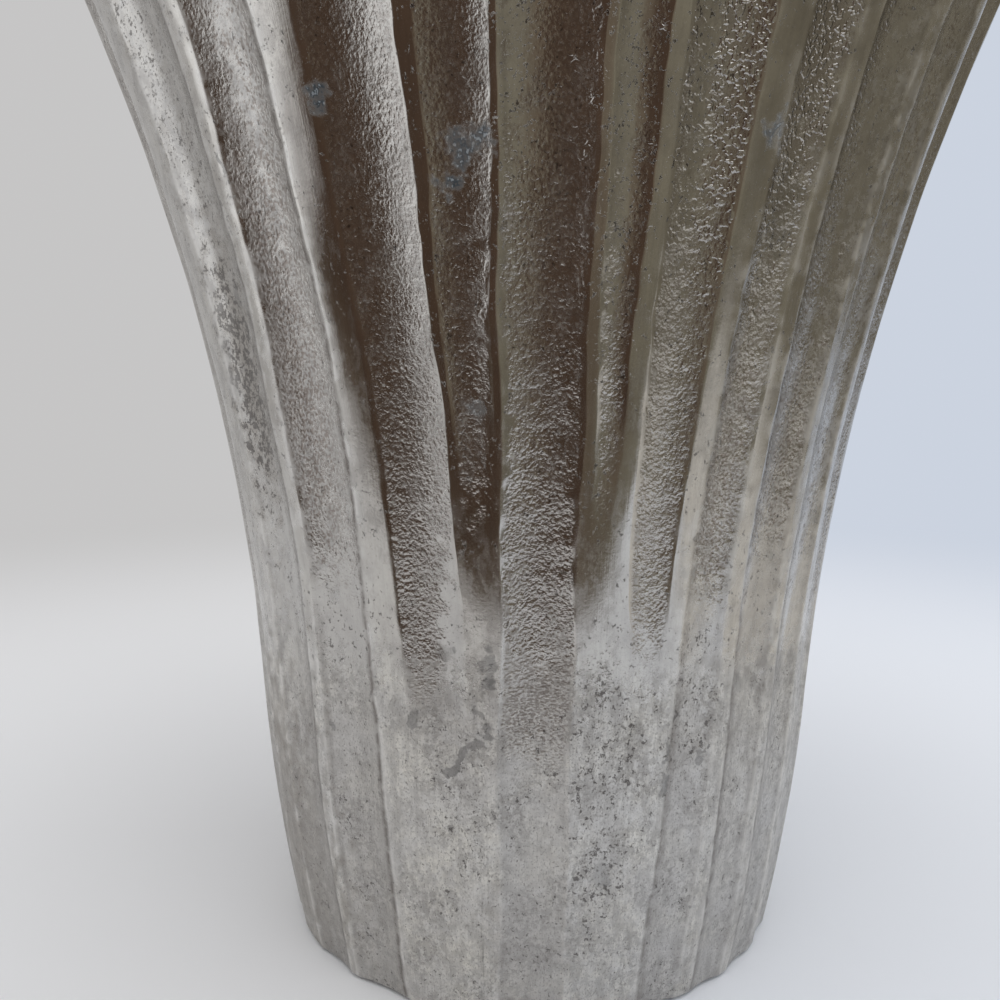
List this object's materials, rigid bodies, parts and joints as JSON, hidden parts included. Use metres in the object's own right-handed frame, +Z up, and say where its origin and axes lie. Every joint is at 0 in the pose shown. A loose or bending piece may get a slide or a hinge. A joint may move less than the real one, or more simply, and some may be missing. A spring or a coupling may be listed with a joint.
{
  "type": "urn vase",
  "caption": "Tall flared vase, cast in raw aluminium with rough hand-cut flutes that run out towards a narrower foot, with a lift-out water liner.",
  "frame": {"origin": "on the table under the centre of the foot", "axes": "+Z up along the vase's axis, the pictured front towards -Y"},
  "size_m": [0.2802, 0.2798, 0.295],
  "materials": {
    "cast_aluminium": "rough sand cast in the flutes, ground and burnished on the ridges, unlacquered",
    "plate_aluminium": "turned",
    "gasket_rubber": "matte",
    "screw_steel": "stainless",
    "pad_felt": "pressed felt",
    "liner_plastic": "moulded, matte"
  },
  "bodies": {
    "vase": {"vase_body": "cast_aluminium", "base_plate": "plate_aluminium", "base_gasket": "gasket_rubber", "base_screws": "screw_steel", "felt_pad_1": "pad_felt", "felt_pad_2": "pad_felt", "felt_pad_3": "pad_felt", "felt_pad_4": "pad_felt"},
    "liner": {"water_liner": "liner_plastic"}
  },
  "joints": [
    {"name": "liner_lift", "type": "slide", "parent": "vase", "child": "liner", "axis": [0, 0, 1], "range_m": [0, 0.3]}
  ]
}
